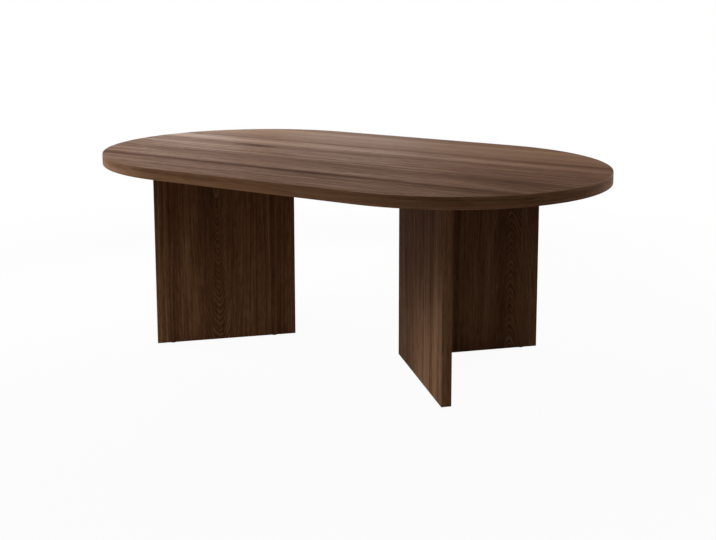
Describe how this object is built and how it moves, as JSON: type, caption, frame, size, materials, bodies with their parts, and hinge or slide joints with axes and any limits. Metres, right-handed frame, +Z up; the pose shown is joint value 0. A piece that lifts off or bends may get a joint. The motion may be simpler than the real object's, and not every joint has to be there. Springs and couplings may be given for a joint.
{
  "type": "coffee table",
  "caption": "Low coffee table with a flat racetrack-shaped walnut-veneered top on V-shaped mitred panel legs, bolted on with steel angles and standing on small glides.",
  "frame": {"origin": "on the floor, under the middle of the top", "axes": "+X along the table, +Y across it, +Z up; the picture is taken from the -Y side"},
  "size_m": [1.0998, 0.65, 0.4],
  "materials": {
    "walnut_veneer": "matt lacquered walnut veneer",
    "board_core": "medium-density fibreboard",
    "pressed_beech": "pressed beech",
    "black_steel": "black powder coat",
    "zinc_steel": "bright zinc plate",
    "die_cast_zinc": "die-cast zinc alloy",
    "nylon": "moulded brown nylon"
  },
  "bodies": {
    "root": {"top_core": "board_core", "top_face_veneer": "walnut_veneer", "top_underside_veneer": "walnut_veneer", "top_edge_band": "walnut_veneer", "left_leg_front_core": "board_core", "left_leg_front_outer_veneer": "walnut_veneer", "left_leg_front_inner_veneer": "walnut_veneer", "left_leg_front_end_band": "walnut_veneer", "left_leg_front_bracket": "black_steel", "left_leg_back_core": "board_core", "left_leg_back_outer_veneer": "walnut_veneer", "left_leg_back_inner_veneer": "walnut_veneer", "left_leg_back_end_band": "walnut_veneer", "left_leg_back_bracket": "black_steel", "right_leg_front_core": "board_core", "right_leg_front_outer_veneer": "walnut_veneer", "right_leg_front_inner_veneer": "walnut_veneer", "right_leg_front_end_band": "walnut_veneer", "right_leg_front_bracket": "black_steel", "right_leg_back_core": "board_core", "right_leg_back_outer_veneer": "walnut_veneer", "right_leg_back_inner_veneer": "walnut_veneer", "right_leg_back_end_band": "walnut_veneer", "right_leg_back_bracket": "black_steel", "left_leg_biscuits": "pressed_beech", "left_leg_bracket_screws": "zinc_steel", "left_leg_top_bolts": "zinc_steel", "left_leg_washers": "zinc_steel", "left_leg_inserts": "die_cast_zinc", "left_leg_glides": "nylon", "right_leg_biscuits": "pressed_beech", "right_leg_bracket_screws": "zinc_steel", "right_leg_top_bolts": "zinc_steel", "right_leg_washers": "zinc_steel", "right_leg_inserts": "die_cast_zinc", "right_leg_glides": "nylon"}
  },
  "joints": []
}
